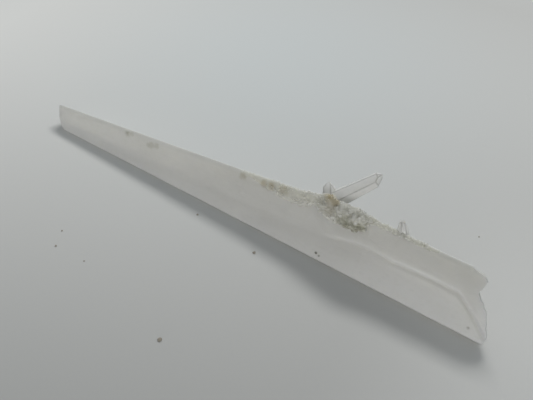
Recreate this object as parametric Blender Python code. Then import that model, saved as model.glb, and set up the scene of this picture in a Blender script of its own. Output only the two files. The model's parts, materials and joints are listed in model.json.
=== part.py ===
"""Quartz crystal: a long tapered point that lies on one of its long faces.

A parallel overgrowth thickens its wide half, a crust of tiny crystals (druse) runs along its top edge,
and three side crystals stand out of the crust. Everything has grown together into one solid.

X runs along the crystal towards its wide, broken end, -Y is the side of the broad front face, Z is up,
and the crystal rests on Z = 0. The crystal is laid out in its own coordinates, and ORIGIN then puts
the frame's origin under the middle of the finished piece.
"""
import math
import random

import bmesh
import bpy
from mathutils import Vector

MM = 0.001
NAME = "quartz_crystal"

# ---- frame ---------------------------------------------------------------------------------------
ORIGIN = Vector((-1.35 * MM, 1.25 * MM, 0.0))

# ---- long crystal --------------------------------------------------------------------------------
TIP_X = -62.0 * MM
SWELL_X = 20.0 * MM
END_X = 61.0 * MM
FRONT_EDGE_AT_TIP = Vector((TIP_X, -2.85 * MM, 0.62 * MM))
FRONT_EDGE_AT_END = Vector((END_X, -6.67 * MM, 1.455 * MM))
FRONT_WIDTH_AT_TIP = 6.2 * MM
FRONT_WIDTH_AT_SWELL = 13.6 * MM
FRONT_WIDTH_AT_END = 13.85 * MM
TOP_SHARE = 0.035
BACK_SHARE = 0.68
# Outward direction of each long face around the X axis, in degrees from +Y towards +Z.
LONG_FACES = {"front": 150, "top": 90, "upper_back": 30, "lower_back": -30, "bottom": -90, "under_front": -150}
BLOCK = 400 * MM

# ---- blunt tip -----------------------------------------------------------------------------------
# Lines where the front face ends and where its lower corner is cut off: distance along X, distance up from
# the front edge.
TIP_LINE = ((-61.75, 0.8), (-63.1, 6.0))
TIP_FACET_TURN = 24
TIP_FACET_LENGTH = 2.0 * MM
TIP_END_TURN = 108
TIP_CORNER = ((-61.0, 0.0), (-64.0, 2.4))
TIP_CORNER_TURN = 80

# ---- overgrowth on the wide half -----------------------------------------------------------------
OVERGROWTH = {"front": 0.85 * MM, "top": 0.95 * MM, "upper_back": 0.06 * MM, "lower_back": 0.5 * MM,
              "bottom": -0.5 * MM, "under_front": -0.3 * MM}
# Where the overgrowth's left end comes out of each long face, and how steeply it rises there.
OVERGROWTH_START = {"front": (20.0 * MM, 13), "top": (13.0 * MM, 10), "upper_back": (16.0 * MM, 12),
                    "lower_back": (24.0 * MM, 38)}
# On the front face that start runs askew: how much, and how far up the face it is measured.
FRONT_START_SKEW = 0.95
FRONT_START_UP = 0.6
# Ledge that bounds the overgrowth on the front face: distance along X, distance up from the front edge.
LEDGE = [(14.0, 5.0), (21.5, 5.5), (25.5, 6.2), (29.1, 6.9), (33.2, 7.3), (39.1, 7.0), (44.5, 7.3), (49.8, 7.4),
         (53.2, 7.3), (55.6, 5.7), (57.6, 4.2), (60.0, 2.0), (61.2, 1.0), (64.0, 0.4)]
LEDGE_RUN = 0.95 * MM
RECESS_DEPTH = 0.35 * MM
RECESS_HEIGHT = 1.5 * MM
# How far the recess reaches below the front edge, and to the left of the ledge's start.
RECESS_BELOW = 9 * MM
RECESS_LEFT = 30 * MM

# ---- broken wide end -----------------------------------------------------------------------------
# Outline of the break on the front face: distance up from the front edge, distance along X.
BREAK_OUTLINE = [(-6.0, 62.5), (-0.1, 61.7), (1.4, 61.9), (2.7, 61.6), (3.8, 60.95), (6.3, 60.1), (7.9, 58.9),
                 (9.0, 57.7), (9.9, 57.1), (11.0, 57.5), (12.5, 57.8), (13.3, 57.3), (14.3, 54.2), (20.0, 50.0)]
BREAK_LEAN = 0.74
BREAK_ROWS = 23
BREAK_COLUMNS = 15
BREAK_UP = (-4.5 * MM, 18.0 * MM)
BREAK_IN = (-2.5 * MM, 12.5 * MM)
# Height of the ripples and depth of the hollow in the break, and how deep behind the front face they begin.
BREAK_RIPPLE = 0.35 * MM
RIPPLE_START = 2 * MM
BREAK_HOLLOW = 0.6 * MM
HOLLOW_START = 4 * MM
BREAK_ALLOWANCE = 6 * MM
BREAK_PAST_END = 20 * MM

# ---- side crystals -------------------------------------------------------------------------------
# Tilt of an end face away from the crystal's own axis direction: flat on most, steep on the sharp ones.
END_FACE_TURN = 51.8
SHARP_FACE_TURN = 62
BLUNT_FACE_TURN = 18
# name: root, apex, width across at the root and at the shoulder, how far the apex lies off the axis as a
# share of the width, which way it lies off in degrees, roll, tilt of its end faces
SIDE_CRYSTALS = {
    "long": ((18.7, 1.4, 10.3), (29.95, 8.3, 20.15), 4.3, 2.65, 0.17, 42, 23, END_FACE_TURN),
    "stubby": ((20.9, 2.6, 9.5), (20.1, 3.8, 16.35), 4.35, 3.95, 0.31, 113, -11, END_FACE_TURN),
    "slim": ((39.0, 1.3, 10.9), (37.7, 1.9, 16.5), 3.65, 1.15, 0.08, -69, 19, BLUNT_FACE_TURN),
    "block": ((22.2, 2.0, 11.0), (20.9, 3.2, 15.2), 2.3, 2.1, 0.20, 0, 40, END_FACE_TURN),
}

# ---- crust ---------------------------------------------------------------------------------------
# Along X: where its lower rim lies up the front face as a share of its width, how thick it is on the front
# face, and how thick it is on the top face.
CRUST = [(-5.0, 0.95, 0.05, 0.05), (3.0, 0.84, 0.15, 0.08), (9.0, 0.78, 0.28, 0.12), (15.0, 0.80, 0.38, 0.18),
         (18.0, 0.86, 0.45, 0.25), (20.5, 0.76, 0.70, 1.00), (22.5, 0.75, 0.75, 0.90), (24.5, 0.76, 1.15, 0.65),
         (28.0, 0.765, 1.30, 0.58), (30.2, 0.80, 1.30, 0.60), (31.2, 0.95, 0.55, 0.50), (34.0, 0.97, 0.35, 0.20),
         (38.0, 0.97, 0.30, 0.20), (43.0, 0.97, 0.22, 0.12), (45.5, 0.97, 0.12, 0.08)]
CRUST_STEP = 0.7 * MM
# Places from the crust's lower rim up to the top edge, and its thickness there, both as shares.
CRUST_SWELL = ((0.0, 0.30), (0.10, 0.85), (0.40, 1.0), (0.72, 1.05))
CRUST_ROUGHNESS = 0.55
CRUST_SHIFT = 0.06
CRUST_SEED = 3
# How deep the crust is rooted: behind the front face, down the back from the ridge, and under the top.
CRUST_ROOT = 1.0 * MM
CRUST_BACK_ROOT = Vector((0, 0.5 * MM, -1.6 * MM))
CRUST_CORE = 3.0 * MM
# Length over which it climbs onto the overgrowth.
CRUST_CLIMB = 3.0 * MM

# ---- druse ---------------------------------------------------------------------------------------
# Stretches along the top edge: from X, to X, count, lowest and highest place up the front face as a
# share of its width, narrowest and widest crystal, how far they stand proud.
DRUSE = [
    (-4.0, 6.0, 10, 0.82, 1.00, 0.5, 1.1, 0.30),
    (6.0, 19.0, 30, 0.78, 1.06, 0.6, 1.5, 0.55),
    (20.5, 31.0, 64, 0.74, 1.10, 0.7, 1.5, 1.75),
    (31.2, 36.5, 14, 0.94, 1.10, 0.8, 1.6, 0.95),
    (36.5, 46.0, 16, 0.96, 1.10, 0.6, 1.5, 0.75),
]
DRUSE_SEED = 7
DRUSE_ROOT = 1.3 * MM

# ---- pits ----------------------------------------------------------------------------------------
# Distance along X, place up the front face as a share of its width, radius.
PITS = [(-38.6, 0.91, 0.60), (21.7, 0.10, 0.42), (22.6, 0.07, 0.32), (57.8, 0.14, 0.40)]


def remove_everything():
    """Empty the scene that the script starts in."""
    for obj in list(bpy.data.objects):
        bpy.data.objects.remove(obj, do_unlink=True)
    for group in list(bpy.data.collections):
        bpy.data.collections.remove(group)


def new_collection(name):
    """Make a collection in the scene."""
    group = bpy.data.collections.new(name)
    bpy.context.scene.collection.children.link(group)
    return group


def mesh_object(name, bm, group):
    """Turn a bmesh into an object in a collection, with its faces pointing out."""
    bmesh.ops.recalc_face_normals(bm, faces=bm.faces[:])
    mesh = bpy.data.meshes.new(name)
    bm.to_mesh(mesh)
    bm.free()
    obj = bpy.data.objects.new(name, mesh)
    group.objects.link(obj)
    return obj


# ---- cutting crystals from their faces -----------------------------------------------------------
def cut_block(faces, block=BLOCK, centre=Vector((0, 0, 0))):
    """Cut a cube by planes, each a point and an outward normal, and close every cut with a flat face."""
    bm = bmesh.new()
    bmesh.ops.create_cube(bm, size=block)
    bmesh.ops.translate(bm, verts=bm.verts[:], vec=centre)
    for point, normal in faces:
        geometry = bm.verts[:] + bm.edges[:] + bm.faces[:]
        cut = bmesh.ops.bisect_plane(bm, geom=geometry, dist=1e-7, plane_co=point, plane_no=normal,
                                     clear_outer=True)
        rim = [item for item in cut["geom_cut"] if isinstance(item, bmesh.types.BMEdge)]
        if len(rim) > 2:
            bmesh.ops.contextual_create(bm, geom=rim)
    return bm


def outward(face):
    """Direction square to the X axis in which a long face looks."""
    angle = math.radians(LONG_FACES[face])
    return Vector((0, math.cos(angle), math.sin(angle)))


def front_edge(x):
    """Point of the sharp lower edge of the front face at x."""
    share = (x - TIP_X) / (END_X - TIP_X)
    return FRONT_EDGE_AT_TIP.lerp(FRONT_EDGE_AT_END, share)


def front_width(x):
    """Width of the broad front face at x: it grows from the tip to the swell, then stays nearly even."""
    if x < SWELL_X:
        share = (x - TIP_X) / (SWELL_X - TIP_X)
        return FRONT_WIDTH_AT_TIP + (FRONT_WIDTH_AT_SWELL - FRONT_WIDTH_AT_TIP) * share
    share = (x - SWELL_X) / (END_X - SWELL_X)
    return FRONT_WIDTH_AT_SWELL + (FRONT_WIDTH_AT_END - FRONT_WIDTH_AT_SWELL) * share


def section(x):
    """Six corners of the long crystal at x. Neighbouring sides meet at 120 degrees."""
    half = 0.5
    rise = math.sqrt(3) / 2
    width = front_width(x)
    under = front_edge(x).z / rise
    front = front_edge(x)
    upper = front + Vector((0, half, rise)) * width
    ridge = upper + Vector((0, TOP_SHARE * width, 0))
    back = ridge + Vector((0, half, -rise)) * (BACK_SHARE * width)
    foot = back - Vector((0, half, rise)) * (width + under - BACK_SHARE * width)
    toe = front + Vector((0, half, -rise)) * under
    return [front, upper, ridge, back, foot, toe]


def reach(face, x):
    """Distance from the X axis to a long face at x."""
    return max(outward(face).dot(corner) for corner in section(x))


def long_faces(grow):
    """Planes of the long faces over both spans, each face moved out by its own growth."""
    planes = []
    for face in LONG_FACES:
        for start, stop in ((TIP_X, SWELL_X), (SWELL_X, END_X)):
            near = reach(face, start) + grow.get(face, 0.0)
            far = reach(face, stop) + grow.get(face, 0.0)
            point = Vector((start, 0, 0)) + outward(face) * near
            normal = outward(face) - Vector(((far - near) / (stop - start), 0, 0))
            planes.append((point, normal.normalized()))
    return planes


def on_front(x, up, proud):
    """Point of the front face: x along it, up from its lower edge, and proud of it."""
    across = Vector((0, 0.5, math.sqrt(3) / 2))
    return front_edge(x) + across * up + front_normal() * proud


def front_normal():
    """Outward normal of the front face."""
    along = (FRONT_EDGE_AT_END - FRONT_EDGE_AT_TIP).normalized()
    return along.cross(Vector((0, 0.5, math.sqrt(3) / 2))).normalized()


def tilted(normal, towards, degrees):
    """Tilt a direction towards another one."""
    side = (towards - normal * towards.dot(normal)).normalized()
    angle = math.radians(degrees)
    return normal * math.cos(angle) + side * math.sin(angle)


# ---- long crystal --------------------------------------------------------------------------------
def rough_end():
    """Plane past the wide end, where the block stops before it is broken off."""
    return [(Vector((END_X + BREAK_ALLOWANCE, 0, 0)), Vector((1, 0, 0)))]


def turned_plane(line, degrees, setback=Vector((0, 0, 0))):
    """Plane through a line on the front face, turned about it from the front face towards the tip."""
    low, high = (on_front(x * MM, up * MM, 0) for x, up in line)
    across = front_normal().cross((high - low).normalized())
    angle = math.radians(degrees)
    return low + setback, front_normal() * math.cos(angle) + across * math.sin(angle)


def tip_faces():
    """Narrow sloping facet at the tip, seen as a strip, and the blunt end behind it."""
    point, facet = turned_plane(TIP_LINE, TIP_FACET_TURN)
    low, high = (on_front(x * MM, up * MM, 0) for x, up in TIP_LINE)
    down_the_facet = facet.cross(high - low).normalized() * TIP_FACET_LENGTH
    return [(point, facet), turned_plane(TIP_LINE, TIP_END_TURN, down_the_facet),
            turned_plane(TIP_CORNER, TIP_CORNER_TURN)]


def long_crystal(group):
    """The long crystal itself, still whole at its wide end."""
    bm = cut_block(long_faces({}) + tip_faces() + rough_end())
    return mesh_object(NAME, bm, group)


# ---- overgrowth ----------------------------------------------------------------------------------
def overgrowth_start():
    """Planes where the overgrowth's left end rises out of the long crystal."""
    planes = []
    for face, (start, degrees) in OVERGROWTH_START.items():
        normal = tilted(outward(face), Vector((-1, 0, 0)), degrees)
        point = Vector((start, 0, 0)) + outward(face) * reach(face, start)
        if face == "front":
            across = Vector((0, 0.5, math.sqrt(3) / 2))
            normal = tilted(outward(face), Vector((-1, 0, 0)) - across * FRONT_START_SKEW, degrees)
            point = on_front(start, FRONT_START_UP * front_width(start), 0)
        planes.append((point, normal))
    return planes


def overgrowth(group):
    """Parallel growth over the wide half of the long crystal, with its front ledge cut back."""
    bm = cut_block(long_faces(OVERGROWTH) + overgrowth_start() + rough_end())
    body = mesh_object("overgrowth", bm, group)
    boolean(body, recess(group), "DIFFERENCE")
    return body


def recess(group):
    """Solid that takes the overgrowth away below its ledge. Its upper side slopes back."""
    low = [Vector((x * MM, up * MM, 0)) for x, up in LEDGE]
    high = []
    for before, here, after in zip([low[0]] + low, low, low[1:] + [low[-1]]):
        run = (after - before).normalized()
        high.append(here + Vector((-run.y, run.x, 0)) * LEDGE_RUN * RECESS_HEIGHT / OVERGROWTH["front"])
    left = low[0].x - RECESS_LEFT
    far = [Vector((low[-1].x, -RECESS_BELOW, 0)), Vector((left, -RECESS_BELOW, 0)), Vector((left, low[0].y, 0))]
    bm = bmesh.new()
    loops = []
    for outline, proud in ((low + far, -RECESS_DEPTH), (high + far, RECESS_HEIGHT)):
        loops.append([bm.verts.new(on_front(spot.x, spot.y, proud)) for spot in outline])
    bm.faces.new(loops[0])
    bm.faces.new(loops[1])
    count = len(loops[0])
    for i in range(count):
        j = (i + 1) % count
        bm.faces.new((loops[0][i], loops[0][j], loops[1][j], loops[1][i]))
    return mesh_object("ledge_recess", bm, group)


# ---- broken end ----------------------------------------------------------------------------------
def break_x(up):
    """Where the break's outline lies at a distance up the front face, read as a smooth curve."""
    points = [(u * MM, x * MM) for u, x in BREAK_OUTLINE]
    for (u0, x0), (u1, x1) in zip(points, points[1:]):
        if up <= u1:
            share = max(0.0, (up - u0) / (u1 - u0))
            share = share * share * (3 - 2 * share)
            return x0 + (x1 - x0) * share
    return points[-1][1]


def break_point(up, depth):
    """Point of the broken surface: it leans back behind the front face and is rippled like a shell."""
    inside = max(0.0, depth)
    ripple = math.sin(depth / MM * 0.95 + up / MM * 0.55) * BREAK_RIPPLE * min(1.0, inside / RIPPLE_START)
    hollow = math.sin(up / MM * 0.38 + 0.8) * BREAK_HOLLOW * min(1.0, inside / HOLLOW_START)
    return on_front(break_x(up) - BREAK_LEAN * inside + ripple + hollow, up, -depth)


def end_break(group):
    """Solid that breaks the wide end off along a rippled surface."""
    bm = bmesh.new()
    bmesh.ops.create_grid(bm, x_segments=BREAK_ROWS, y_segments=BREAK_COLUMNS, size=1.0)
    for vert in bm.verts:
        up = BREAK_UP[0] + (BREAK_UP[1] - BREAK_UP[0]) * (vert.co.x + 1) / 2
        depth = BREAK_IN[0] + (BREAK_IN[1] - BREAK_IN[0]) * (vert.co.y + 1) / 2
        vert.co = break_point(up, depth)
    body = bmesh.ops.extrude_face_region(bm, geom=bm.faces[:])
    moved = [item for item in body["geom"] if isinstance(item, bmesh.types.BMVert)]
    for vert in moved:
        vert.co.x = END_X + BREAK_PAST_END
    return mesh_object("end_break", bm, group)


# ---- small crystals ------------------------------------------------------------------------------
def small_crystal(root, apex, widths, off_centre, off_way, roll, end_turn):
    """One six-sided crystal from its root to its apex: six tapering sides and six end faces."""
    axis = (apex - root).normalized()
    length = (apex - root).length
    side = axis.orthogonal().normalized()
    other = axis.cross(side)
    taper = (widths[0] - widths[1]) / 2 / length
    steep = math.radians(end_turn)
    planes = [(root, -axis)]
    for i in range(6):
        turn = math.radians(roll + 60 * i)
        radial = side * math.cos(turn) + other * math.sin(turn)
        planes.append((root + radial * widths[0] / 2, (radial + axis * taper).normalized()))
        aside = off_centre * widths[1] * math.cos(turn - math.radians(off_way))
        set_out = radial * (aside + 0.06 * widths[1] * (i % 2))
        planes.append((apex + set_out, radial * math.sin(steep) + axis * math.cos(steep)))
    return cut_block(planes, 4 * length, root)


def side_crystals(group):
    """The larger crystals that stand out of the crust, each its own body until they are joined."""
    bodies = []
    for name, (root, apex, root_width, shoulder_width, off_centre, off_way, roll, turn) in SIDE_CRYSTALS.items():
        widths = (root_width * MM, shoulder_width * MM)
        bm = small_crystal(Vector(root) * MM, Vector(apex) * MM, widths, off_centre, off_way, roll, turn)
        bodies.append(mesh_object(name + "_side_crystal", bm, group))
    return bodies


def crust_profile(x):
    """Lower rim of the crust at x, and its thickness on the front face and on the top face."""
    for (x0, *near), (x1, *far) in zip(CRUST, CRUST[1:]):
        if x <= x1 * MM:
            break
    share = min(1.0, max(0.0, (x / MM - x0) / (x1 - x0)))
    rim, front, top = (a + (b - a) * share for a, b in zip(near, far))
    return rim, front * MM, top * MM


def crust_section(x, chance):
    """Loop of points around the crust at x, from under its lower rim over the top edge to the back."""
    rim, front_thick, top_thick = crust_profile(x)
    width = front_width(x)
    grown = min(1.0, max(0.0, (x - OVERGROWTH_START["front"][0]) / CRUST_CLIMB))
    raised = OVERGROWTH["front"] * grown
    upper, ridge = section(x)[1:3]
    loop = [on_front(x, min(rim + 0.03, 0.93) * width, -CRUST_ROOT)]
    for share, proud in CRUST_SWELL:
        wobble = 1 + CRUST_ROUGHNESS * chance.uniform(-1, 1)
        shift = CRUST_SHIFT * chance.uniform(-1, 1) * math.ceil(share)
        up = (rim + (1.0 - rim) * (share + shift)) * width
        loop.append(on_front(x, up, raised + front_thick * proud * wobble))
    lifted = Vector((0, 0, OVERGROWTH["top"] * grown))
    for corner, back in ((upper - Vector((0, raised, 0)), -0.2), (ridge, 0.3)):
        wobble = 1 + CRUST_ROUGHNESS * chance.uniform(-1, 1)
        loop.append(corner + lifted + Vector((0, back * top_thick, top_thick * wobble)))
    loop.append(ridge + CRUST_BACK_ROOT)
    loop.append((upper + ridge) / 2 - Vector((0, 0, CRUST_CORE)))
    return loop


def crust(group):
    """Rough crust along the top edge, lofted through unlike sections."""
    chance = random.Random(CRUST_SEED)
    bm = bmesh.new()
    start, stop = CRUST[0][0] * MM, CRUST[-1][0] * MM
    count = int((stop - start) / CRUST_STEP)
    loops = []
    for i in range(count + 1):
        x = start + (stop - start) * i / count
        loops.append([bm.verts.new(spot) for spot in crust_section(x, chance)])
    bm.faces.new(loops[0])
    bm.faces.new(loops[-1])
    for near, far in zip(loops, loops[1:]):
        for j in range(len(near)):
            k = (j + 1) % len(near)
            bm.faces.new((near[j], near[k], far[k], far[j]))
    bmesh.ops.triangulate(bm, faces=bm.faces[:])
    return mesh_object("crust", bm, group)


def druse(group):
    """Tiny crystals on the crust, one body each until they are joined."""
    chance = random.Random(DRUSE_SEED)
    for start, stop, count, low, high, narrow, wide, proud in DRUSE:
        for i in range(count):
            x = (start + (stop - start) * (i + chance.random()) / count) * MM
            share = chance.uniform(low, high)
            size = chance.uniform(narrow, wide) * MM
            grow_out(group, chance, x, share, size, proud * MM)


def grow_out(group, chance, x, share, size, proud):
    """Add one tiny crystal on the front face, or on the top face where share is over 1."""
    width = front_width(x)
    if share <= 1:
        surface = on_front(x, share * width, OVERGROWTH["front"] if x > OVERGROWTH_START["front"][0] else 0)
        lean = front_normal().lerp(Vector((0, 0, 1)), 0.25 + 0.5 * chance.random())
    else:
        surface = on_front(x, width, 0) + Vector((0, (share - 1) * width, 0.2 * MM))
        lean = Vector((0, -0.2 + 0.4 * chance.random(), 1))
    tilt = Vector((chance.uniform(-0.5, 0.5), chance.uniform(-0.3, 0.3), chance.uniform(-0.3, 0.3)))
    axis = (lean + tilt).normalized()
    apex = surface + axis * proud * chance.uniform(0.6, 1.25)
    root = surface - axis * DRUSE_ROOT
    turn = chance.choice((END_FACE_TURN, END_FACE_TURN, SHARP_FACE_TURN))
    bm = small_crystal(root, apex, (size, size * 0.85), chance.uniform(0, 0.3), chance.uniform(0, 360),
                       chance.uniform(0, 60), turn)
    mesh_object("tiny_crystal", bm, group)


def pits(group):
    """Small round-bottomed pits in the front face."""
    bm = bmesh.new()
    for x, share, radius in PITS:
        centre = on_front(x * MM, share * front_width(x * MM), 0.35 * radius * MM)
        ball = bmesh.ops.create_icosphere(bm, subdivisions=1, radius=radius * MM)
        bmesh.ops.translate(bm, verts=ball["verts"], vec=centre)
    return mesh_object("pits", bm, group)


# ---- joining -------------------------------------------------------------------------------------
def boolean(body, other, operation):
    """Join another object, or a collection of them, to a body, or cut it away."""
    modifier = body.modifiers.new(other.name, "BOOLEAN")
    modifier.operation = operation
    modifier.solver = "EXACT"
    if isinstance(other, bpy.types.Collection):
        modifier.operand_type = "COLLECTION"
        modifier.collection = other
    else:
        modifier.object = other


def quartz_material():
    """Milky, half-clear quartz."""
    material = bpy.data.materials.new("milky_quartz")
    material.use_nodes = True
    shader = material.node_tree.nodes["Principled BSDF"]
    shader.inputs["Base Color"].default_value = (0.62, 0.63, 0.60, 1)
    shader.inputs["Roughness"].default_value = 0.35
    shader.inputs["Metallic"].default_value = 0.0
    shader.inputs["IOR"].default_value = 1.544
    shader.inputs["Transmission Weight"].default_value = 0.5
    return material


def main():
    """Build the crystal."""
    remove_everything()
    parts = new_collection(NAME)
    tools = new_collection("joined_bodies_and_cutters")
    growths = new_collection("tiny_crystals")
    crystal = long_crystal(parts)
    boolean(crystal, overgrowth(tools), "UNION")
    boolean(crystal, crust(tools), "UNION")
    druse(growths)
    boolean(crystal, growths, "UNION")
    for body in side_crystals(tools):
        boolean(crystal, body, "UNION")
    boolean(crystal, pits(tools), "DIFFERENCE")
    boolean(crystal, end_break(tools), "DIFFERENCE")
    crystal.data.materials.append(quartz_material())
    frame = bpy.data.objects.new("frame_origin", None)
    frame.location = -ORIGIN
    tools.objects.link(frame)
    helpers = [item for group in (tools, growths) for item in group.objects if item.type == "MESH"]
    for obj in [crystal] + helpers:
        obj.parent = frame
    for obj in helpers:
        obj.hide_render = True
        obj.display_type = "WIRE"


main()
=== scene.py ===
"""Quartz crystal with its finish: a milky long crystal with a parallel overgrowth, a clay-stained crust of
tiny crystals along its top edge, and clearer side crystals, lying on a pale floor.

Lengths are millimetres in the crystal's own coordinates: X runs along it towards the wide broken end,
-Y is the side of the broad front face, and the crystal rests on Z = 0. ORIGIN is where the frame's
origin lies in these coordinates.
"""
import json
import math
import random

import bmesh
import bpy
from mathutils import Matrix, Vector, noise

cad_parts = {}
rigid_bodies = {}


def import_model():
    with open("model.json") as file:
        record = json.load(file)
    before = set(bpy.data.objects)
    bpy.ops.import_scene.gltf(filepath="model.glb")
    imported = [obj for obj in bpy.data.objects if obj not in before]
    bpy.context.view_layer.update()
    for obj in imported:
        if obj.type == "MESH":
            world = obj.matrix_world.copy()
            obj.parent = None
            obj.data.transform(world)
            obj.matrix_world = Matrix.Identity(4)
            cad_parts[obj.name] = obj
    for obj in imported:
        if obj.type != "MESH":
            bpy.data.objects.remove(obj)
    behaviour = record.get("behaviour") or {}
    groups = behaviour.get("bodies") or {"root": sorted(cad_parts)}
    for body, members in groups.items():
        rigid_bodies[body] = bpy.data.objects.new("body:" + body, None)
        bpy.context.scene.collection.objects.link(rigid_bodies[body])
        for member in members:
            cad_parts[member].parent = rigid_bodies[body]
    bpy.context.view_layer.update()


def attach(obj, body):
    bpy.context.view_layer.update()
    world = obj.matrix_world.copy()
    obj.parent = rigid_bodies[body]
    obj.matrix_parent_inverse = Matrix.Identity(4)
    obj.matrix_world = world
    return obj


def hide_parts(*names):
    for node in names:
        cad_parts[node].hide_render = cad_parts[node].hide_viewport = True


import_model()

MM = 0.001
ORIGIN = Vector((-1.35, 1.25, 0.0))

# ---- long crystal --------------------------------------------------------------------------------
TIP_X = -62.0
SWELL_X = 20.0
END_X = 61.0
FRONT_EDGE_AT_TIP = Vector((TIP_X, -2.85, 0.62))
FRONT_EDGE_AT_END = Vector((END_X, -6.67, 1.455))
FRONT_WIDTH_AT_TIP = 6.27
FRONT_WIDTH_AT_SWELL = 13.78
FRONT_WIDTH_AT_END = 13.9
TOP_SHARE = 0.012
BACK_SHARE = 0.68
# Spare length at both ends, which the tip's faces and the break cut off.
SPARE_AT_TIP = 3.0
SPARE_AT_END = 4.0
HEX_RISE = math.sqrt(3) / 2
ACROSS = Vector((0, 0.5, HEX_RISE))
ALONG = (FRONT_EDGE_AT_END - FRONT_EDGE_AT_TIP).normalized()
FRONT_NORMAL = ALONG.cross(ACROSS).normalized()
# Outward direction of each long face around the X axis, in degrees from +Y towards +Z.
LONG_FACES = {"front": 150, "top": 90, "upper_back": 30, "lower_back": -30, "bottom": -90, "under_front": -150}
FACE_NAMES = list(LONG_FACES)

# ---- blunt tip -----------------------------------------------------------------------------------
# Line on the front face at which the tip's narrow facet starts: two places, along X and up. Then the
# facet's turn from the front face and its length, and the turn of the blunt end behind it.
TIP_LINE = ((-61.7, 0.8), (-63.0, 6.0))
TIP_FACET_TURN = 24
TIP_FACET_LENGTH = 2.0
TIP_END_TURN = 108
# Line at which the lower corner of the tip is cut off, and the turn of that cut.
TIP_CORNER = ((-60.95, 0.0), (-63.9, 2.4))
TIP_CORNER_TURN = 80

# ---- overgrowth ----------------------------------------------------------------------------------
# How far each face has grown out, and where along X that growth starts and how steep it starts in degrees.
OVERGROWTH = {"front": 0.62, "top": 0.9, "upper_back": 0.03, "lower_back": 0.5}
OVERGROWTH_START = {"front": (20.0, 13), "top": (13.0, 10), "upper_back": (16.0, 12), "lower_back": (24.0, 38)}
FRONT_START_SKEW = 0.95
FRONT_START_UP = 0.6
# Along X: how far up the front face the ledge runs.
LEDGE = [(14.0, 5.0), (21.5, 5.5), (25.5, 6.2), (29.1, 6.9), (33.2, 7.3), (39.1, 7.0), (44.5, 7.3), (49.8, 7.4),
         (53.2, 7.3), (55.6, 5.7), (57.6, 4.2), (60.0, 2.0), (61.2, 1.0), (64.0, 0.4)]
LEDGE_WANDER = 0.12
# Where the ledge's slope starts and ends over it.
RISER = (0.10, 1.25)
# Raised lip above the ledge: its height, and how wide it falls away at places along X.
LIP_RISE = 0.12
LIP_WANDER = 0.7
LIP_WIDTH = [(14.0, 3.0), (30.0, 2.5), (38.0, 1.7), (44.0, 1.3), (64.0, 1.2)]
# Second, thinner growth layer on the front face: how far up, and where along X it starts there.
SECOND_LAYER = [(4.0, 43.0), (7.2, 39.6), (8.4, 37.8), (9.5, 35.6), (10.5, 32.4), (15.5, 29.9)]
SECOND_LAYER_RISE = 0.09
# How wide the slope is on which it starts, and how much wider it grows, from and to a height up the face.
SECOND_LAYER_SLOPE = 0.25
SECOND_LAYER_FADE = 1.2
SECOND_LAYER_FADES_BELOW = (10.6, 9.4)

# ---- broken wide end -----------------------------------------------------------------------------
# Up the front face: where along X the break's edge lies. It leans back, this much for its depth.
BREAK_OUTLINE = [(-6.0, 62.4), (-0.1, 61.6), (1.4, 61.8), (2.7, 61.5), (3.8, 60.9), (6.3, 60.05), (7.9, 58.85),
                 (9.0, 57.7), (9.9, 57.1), (11.0, 57.5), (12.5, 57.8), (13.3, 57.3), (14.3, 54.2), (20.0, 50.0)]
BREAK_LEAN = 0.74
BREAK_UP = (-4.5, 18.0)
BREAK_IN = (-2.5, 12.5)
BREAK_RIPPLE = 0.3
BREAK_BOWL = 0.6
BREAK_WARP = 0.7
BREAK_ROUGHNESS = 0.16
BREAK_ROWS = 90
BREAK_COLUMNS = 60
# Where the break began: up the front face, and behind it.
BREAK_HEART = (9.0, 1.0)

# ---- side crystals -------------------------------------------------------------------------------
# Every other end face of a small crystal is set out by this share of its width, so that it is the smaller.
SMALLER_FACE = 0.06
END_FACE_TURN = 51.8
SHARP_FACE_TURN = 62
BLUNT_FACE_TURN = 18
EDGE_ROUND = 0.16
# name: root, apex, width across at the root and at the shoulder, how far the apex lies off the axis as a
# share of the width, which way it lies off in degrees, roll, tilt of its end faces
SIDE_CRYSTALS = {
    "long": ((18.7, 1.4, 10.3), (29.95, 8.3, 20.15), 4.3, 2.65, 0.17, 42, 23, END_FACE_TURN),
    "stubby": ((20.9, 2.6, 9.5), (20.1, 3.8, 16.3), 4.3, 3.9, 0.31, 113, -11, END_FACE_TURN),
    "slim": ((39.0, 1.25, 10.9), (37.7, 1.85, 16.45), 3.6, 1.1, 0.08, -69, 19, BLUNT_FACE_TURN),
    "block": ((22.2, 2.0, 11.0), (20.9, 3.2, 15.2), 2.3, 2.1, 0.20, 0, 40, END_FACE_TURN),
}

# ---- crust and druse -----------------------------------------------------------------------------
# Along X: where its lower rim lies up the front face as a share of its width, how thick it is on the front
# face, and how thick it is on the top face.
CRUST = [(-2.0, 0.95, 0.04, 0.04), (3.0, 0.85, 0.08, 0.06), (9.0, 0.76, 0.24, 0.12), (15.0, 0.76, 0.36, 0.18),
         (18.0, 0.86, 0.45, 0.25), (20.5, 0.76, 0.60, 1.10), (22.5, 0.75, 0.60, 0.95), (24.5, 0.75, 1.10, 0.68),
         (28.0, 0.755, 1.30, 0.62), (30.2, 0.79, 1.30, 0.62), (31.2, 0.97, 0.45, 0.50),
         (34.0, 0.985, 0.15, 0.20), (38.0, 0.985, 0.12, 0.20), (43.0, 0.985, 0.10, 0.10),
         (45.0, 0.99, 0.06, 0.06), (47.0, 0.99, 0.05, 0.05)]
CRUST_STEP = 0.22
CRUST_POINTS = 26
CRUST_DEPTH = 1.1
# How far the crust runs down behind the ridge, and over what length it turns round an edge.
CRUST_BEHIND = 0.7
CRUST_TURN = 0.5
# Unevenness of the crust: its lower rim, its lumps, and its grains and their size.
CRUST_RIM_WANDER = 0.05
CRUST_LUMPS = 0.55
CRUST_GRAINS = 1.2
GRAIN = 0.95
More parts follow.
